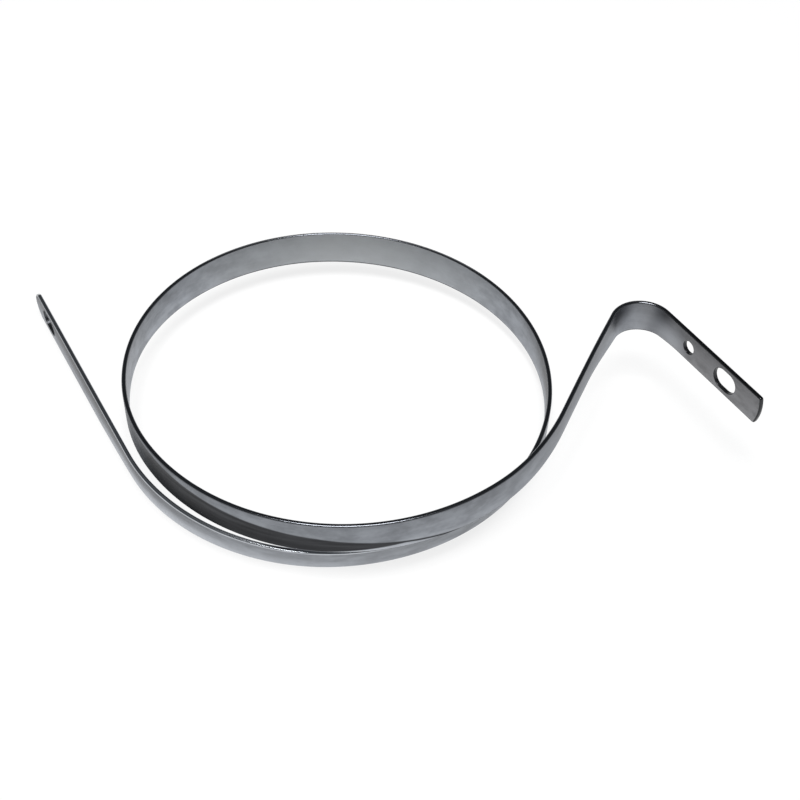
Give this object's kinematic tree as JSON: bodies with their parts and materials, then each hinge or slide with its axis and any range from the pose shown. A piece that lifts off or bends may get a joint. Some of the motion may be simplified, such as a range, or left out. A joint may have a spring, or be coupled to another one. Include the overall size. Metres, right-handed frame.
{
  "type": "brake band",
  "caption": "Flat spring-steel strip coiled to wrap a clutch drum, with a rounded slotted arm end and a bent tab with a hole and a slot.",
  "frame": {"origin": "on the coil axis, at the height of the band's lowest edge", "axes": "+Z along the coil axis, the way the strip climbs; +X from the slotted arm end towards the tab, along the greatest length; +Y towards the back of the coil"},
  "size_m": [0.1326, 0.0774, 0.0189],
  "materials": {
    "spring_steel": "satin"
  },
  "bodies": {
    "root": {"brake_band": "spring_steel"}
  },
  "joints": []
}
